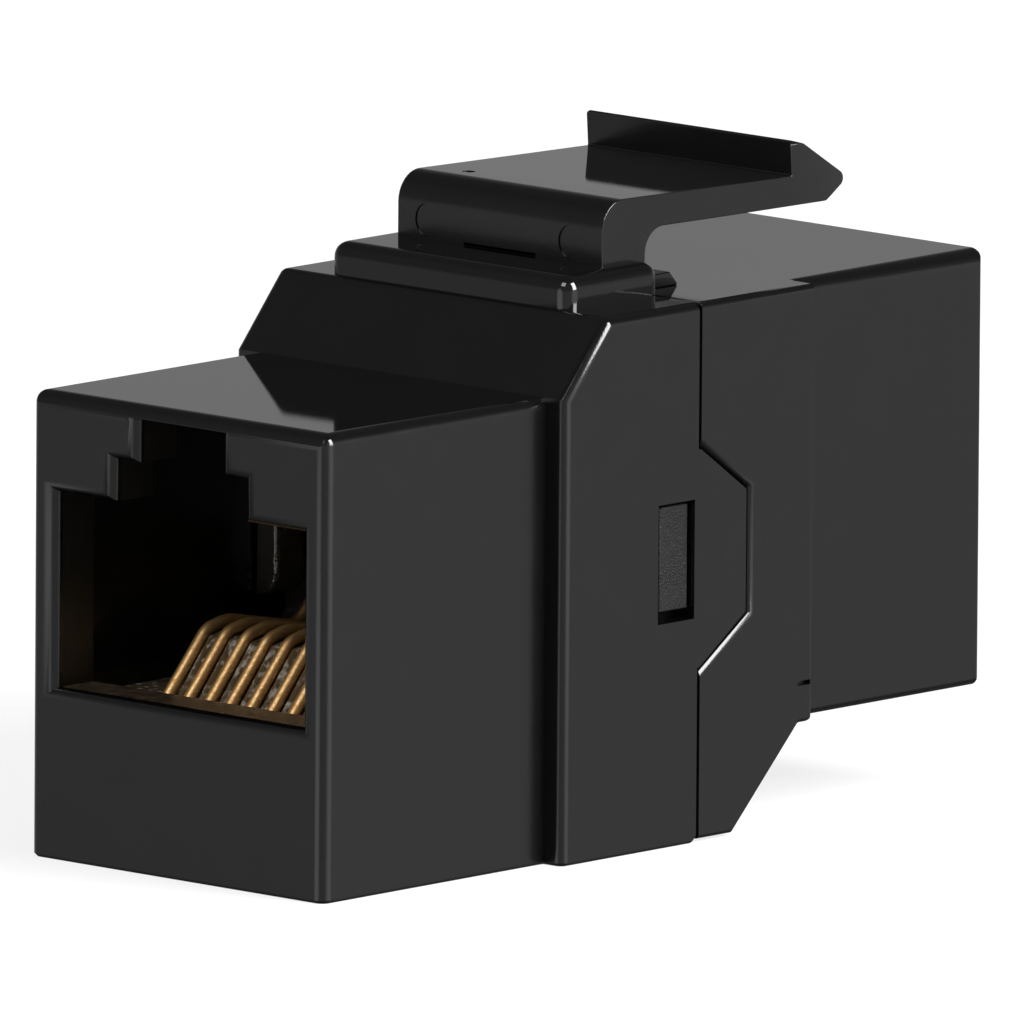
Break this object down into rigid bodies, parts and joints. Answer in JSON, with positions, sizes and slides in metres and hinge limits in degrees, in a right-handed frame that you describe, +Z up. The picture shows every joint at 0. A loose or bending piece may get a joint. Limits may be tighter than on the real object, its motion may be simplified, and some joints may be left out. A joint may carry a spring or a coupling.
{
  "type": "keystone coupler",
  "caption": "Black snap-in keystone coupler that joins network plugs end to end, with a stepped socket at each end, formed gold contact wires and a sprung release latch.",
  "frame": {"origin": "centre of the bounding box at its bottom, on the plane the flat underside rests on", "axes": "+Z up towards the latch, +Y from the cable-side socket face to the panel face, +X to the right seen from the cable side"},
  "size_m": [0.0162, 0.035, 0.0243],
  "materials": {
    "housing": "black moulded plastic, semi-gloss sides and glossy tops",
    "comb": "black moulded plastic, matt",
    "contact": "gold plating on spring wire"
  },
  "bodies": {
    "coupler_body": {"cable_side_housing": "housing", "panel_side_housing": "housing", "cable_side_comb": "comb", "panel_side_comb": "comb", "contact_wire_1": "contact", "contact_wire_2": "contact", "contact_wire_3": "contact", "contact_wire_4": "contact", "contact_wire_5": "contact", "contact_wire_6": "contact", "contact_wire_7": "contact", "contact_wire_8": "contact"},
    "latch": {"latch_arm": "housing"}
  },
  "joints": [
    {"name": "latch_press", "type": "hinge", "parent": "coupler_body", "child": "latch", "pos_m": [0, 0.0029, 0.02263], "axis": [-1, 0, 0], "range_deg": [0, 11], "stiffness_Nm_per_rad": 0.3}
  ]
}
